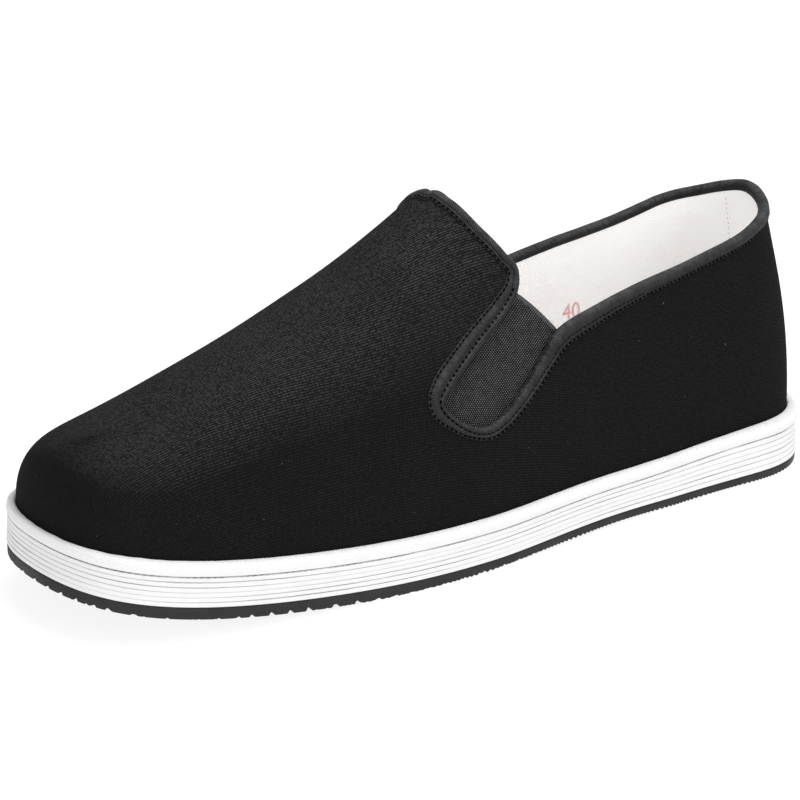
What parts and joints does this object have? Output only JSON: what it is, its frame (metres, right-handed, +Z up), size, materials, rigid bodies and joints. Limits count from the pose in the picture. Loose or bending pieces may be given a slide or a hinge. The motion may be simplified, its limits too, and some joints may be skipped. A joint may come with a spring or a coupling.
{
  "type": "cloth shoe",
  "caption": "Black cloth slip-on shoe with elastic side panels, rolled collar binding and a white layered sole on black rubber, empty and standing on its sole",
  "frame": {"origin": "on the floor under the middle of the shoe's length and breadth", "axes": "+X to the toe, +Y to the outer side of this left shoe, +Z up"},
  "size_m": [0.2706, 0.0888, 0.1005],
  "materials": {
    "black_cloth": "matt fine-ribbed woven cotton",
    "binding_tape": "slightly satin woven tape",
    "elastic": "ribbed elastic webbing",
    "white_cotton": "matt white cotton twill",
    "white_sole": "matt white bonded layers",
    "black_rubber": "matt black rubber with small lugs",
    "insole_cloth": "off-white cotton over board"
  },
  "bodies": {
    "root": {"outsole": "black_rubber", "midsole": "white_sole", "welt": "white_cotton", "insole": "insole_cloth", "upper": "black_cloth", "gore_outer": "elastic", "gore_inner": "elastic", "collar_binding": "binding_tape", "throat_binding": "binding_tape"}
  },
  "joints": []
}
